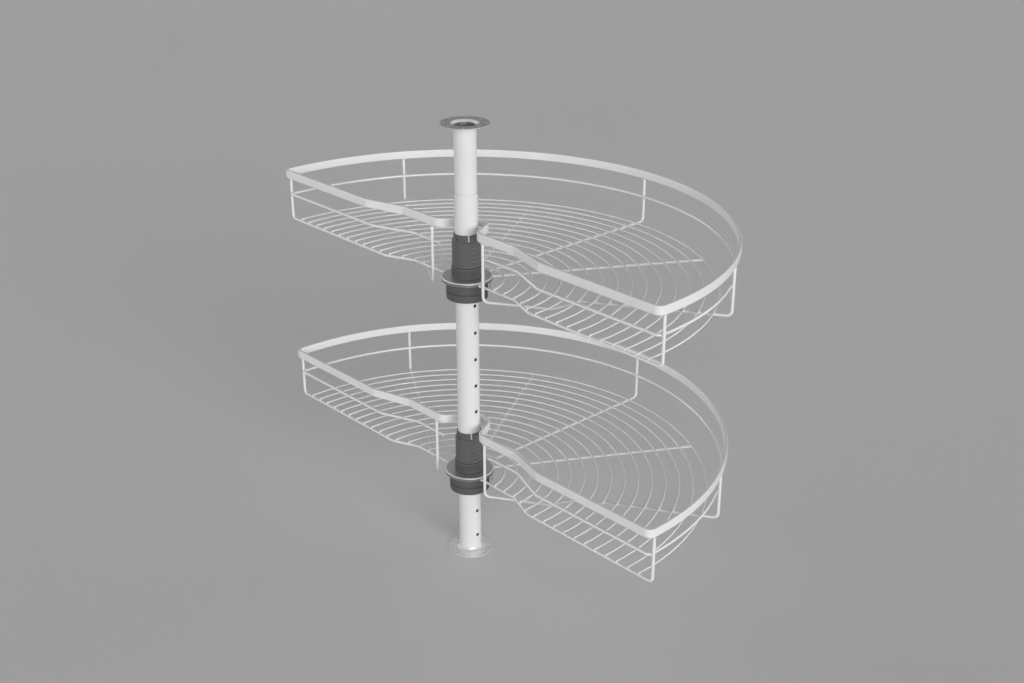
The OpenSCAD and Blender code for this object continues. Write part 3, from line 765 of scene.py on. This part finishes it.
def build_basket(tier):
    z, body = FLOOR_Z[tier], tier + "_basket"

    def piece(part, shape, paint=WIRE_PAINT):
        o = add_mesh(f"{tier}_{part}_finish", shape, paint, body)
        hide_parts(f"{tier}_{part}")
        return o

    def pair(path):
        return Shape(tube(path, WIRE_R), tube(mirror_x(path), WIRE_R))

    section = round_box(RIM_T, RIM_H, RIM_EDGE_R)
    rim = piece("rim", Shape(band(rim_path(z + BASKET_H - RIM_H / 2), section)), PAINT)
    rim.modifiers.new("face_normals", "WEIGHTED_NORMAL").keep_sharp = True
    piece("rail", Shape(tube(rail_path(z + RAIL_H), WIRE_R)))
    piece("front_wires", pair(front_wire_path(z)))
    piece("floor_wires", Shape(*[
        tube(floor_wire_path(r, z), FLOOR_WIRE_R, FLOOR_WIRE_SIDES) for r in FLOOR_RADII
    ]))
    piece("side_braces", pair(brace_path(z)))
    piece("back_support", Shape(tube(back_support_path(z), WIRE_R)))
    piece("spokes", Shape(*[tube(spoke_path(v, z), WIRE_R) for v in SPOKES]))

    welds = Shape()
    for weld in (weld_floor, weld_rail, weld_uprights, weld_hub):
        weld(welds, z)
    add_mesh(f"{tier}_weld_nuggets", welds, WIRE_PAINT, body, NUGGET_SHARP_ANGLE)


for tier in FLOOR_Z:
    build_basket(tier)

SLOTS = {sp["node"]: sp["material_slot"] for sp in frame["record"]["subparts"]}
for name, node in NODES.items():
    node.data.materials.clear()
    node.data.materials.append(BY_NODE.get(name, BY_SLOT[SLOTS[name]]))


# ---------------------------------------------------------------- stage

FLOOR_SIZE_M, FLOOR_ROUGH = 240, 0.95
FLOOR_TONES = [(NOISE_LOW, (0.685, 0.689, 0.694)), (NOISE_HIGH, (0.701, 0.705, 0.71))]

# Soft lamps: name, azimuth the light comes from (0 is -Y, 90 is +X), elevation, strength
SUNS = [
    ("key", 79, 10, 1.8),
    ("front", 49, 20, 0.975),
    ("left", -30, 11, 0.41),
    ("back_right", 155, 11, 0.44),
    ("back_left", 285, 11, 0.625),
]
SUN_ANGLE = 30

# The world: bright walls on the camera's side, and on the far side a soft band of ceiling,
# which the level plates mirror. The stops of WALLS and CEILING stand at the sine of the
# elevation; those of LIT and BEHIND run from 0, away from LIT_SIDE, to 1, towards it.
WORLD_STRENGTH = 1.19
LIT_SIDE = (0.755, -0.656, 0.0)
WALLS = greys([(0.0, 1.0), (0.14, 1.0), (0.3, 0.3), (0.44, 0.0)])
LIT = greys([(0.0, 0.16), (0.35, 0.6), (1.0, 1.0)])
CEILING = [
    (0.3, (0.08, 0.08, 0.081)),
    (0.42, (0.44, 0.44, 0.445)),
    (0.54, (0.62, 0.62, 0.625)),
    (0.66, (0.34, 0.34, 0.343)),
    (0.8, (0.05, 0.05, 0.05)),
]
BEHIND = greys([(0.25, 1.0), (0.6, 0.15)])

# The camera, solved from the photo's view of the two rims
FOCAL_PX, PHOTO_WIDTH_PX, SENSOR_MM = 1382.8, 1024, 36.0
CAMERA_AT, CAMERA_TILT, CAMERA_TURN = (1.3220, -1.1469, 1.0926), 66.40, 47.06
CAMERA_NEAR, CAMERA_FAR = 0.01, 100


def make_floor():
    """A wide, plain, pale grey floor that keeps the object's shadow."""
    bpy.ops.mesh.primitive_plane_add(size=FLOOR_SIZE_M, location=(0, 0, 0))
    floor = bpy.context.object
    floor.name = "floor"
    m, nt, bsdf, obj = tree("pale_floor")
    cloud = noise_node(nt, obj, scale=0.7, detail=2.0)
    nt.links.new(ramp(nt, cloud, FLOOR_TONES), bsdf.inputs["Base Color"])
    bsdf.inputs["Roughness"].default_value = FLOOR_ROUGH
    bsdf.inputs["Specular IOR Level"].default_value = 0.0
    floor.data.materials.append(m)


def make_sun(name, azimuth, elevation, strength):
    data = bpy.data.lights.new(name, "SUN")
    data.energy = strength
    data.angle = math.radians(SUN_ANGLE)
    lamp = bpy.data.objects.new(name, data)
    a, e = math.radians(azimuth), math.radians(elevation)
    away = Vector((math.sin(a) * math.cos(e), -math.cos(a) * math.cos(e), math.sin(e)))
    lamp.rotation_euler = away.to_track_quat("Z", "Y").to_euler()
    bpy.context.scene.collection.objects.link(lamp)


def make_world():
    world = bpy.data.worlds.new("studio")
    bpy.context.scene.world = world
    world.use_nodes = True
    nt = world.node_tree
    nt.nodes.clear()
    out = nt.nodes.new("ShaderNodeOutputWorld")
    bg = nt.nodes.new("ShaderNodeBackground")
    coord = nt.nodes.new("ShaderNodeTexCoord")
    sep = nt.nodes.new("ShaderNodeSeparateXYZ")
    nt.links.new(coord.outputs["Generated"], sep.inputs[0])
    height = sep.outputs["Z"]
    dot = nt.nodes.new("ShaderNodeVectorMath")
    dot.operation = "DOT_PRODUCT"
    dot.inputs[1].default_value = LIT_SIDE
    nt.links.new(coord.outputs["Generated"], dot.inputs[0])
    towards = spread(nt, dot.outputs["Value"], 0.0, 1.0, -1.0, 1.0)
    walls = blend(nt, ramp(nt, height, WALLS), ramp(nt, towards, LIT))
    ceiling = blend(nt, ramp(nt, height, CEILING), ramp(nt, towards, BEHIND))
    nt.links.new(blend(nt, walls, ceiling, "ADD"), bg.inputs["Color"])
    bg.inputs["Strength"].default_value = WORLD_STRENGTH
    nt.links.new(bg.outputs[0], out.inputs["Surface"])


def make_camera():
    camera = bpy.data.objects.new("camera", bpy.data.cameras.new("camera"))
    camera.data.lens = FOCAL_PX / PHOTO_WIDTH_PX * SENSOR_MM
    camera.data.sensor_width = SENSOR_MM
    camera.data.sensor_fit = "HORIZONTAL"
    camera.data.clip_start, camera.data.clip_end = CAMERA_NEAR, CAMERA_FAR
    camera.location = CAMERA_AT
    camera.rotation_euler = (math.radians(CAMERA_TILT), 0, math.radians(CAMERA_TURN))
    bpy.context.scene.collection.objects.link(camera)
    bpy.context.scene.camera = camera


make_floor()
make_world()
for lamp in SUNS:
    make_sun(*lamp)
make_camera()
bpy.context.scene.view_settings.view_transform = "Standard"
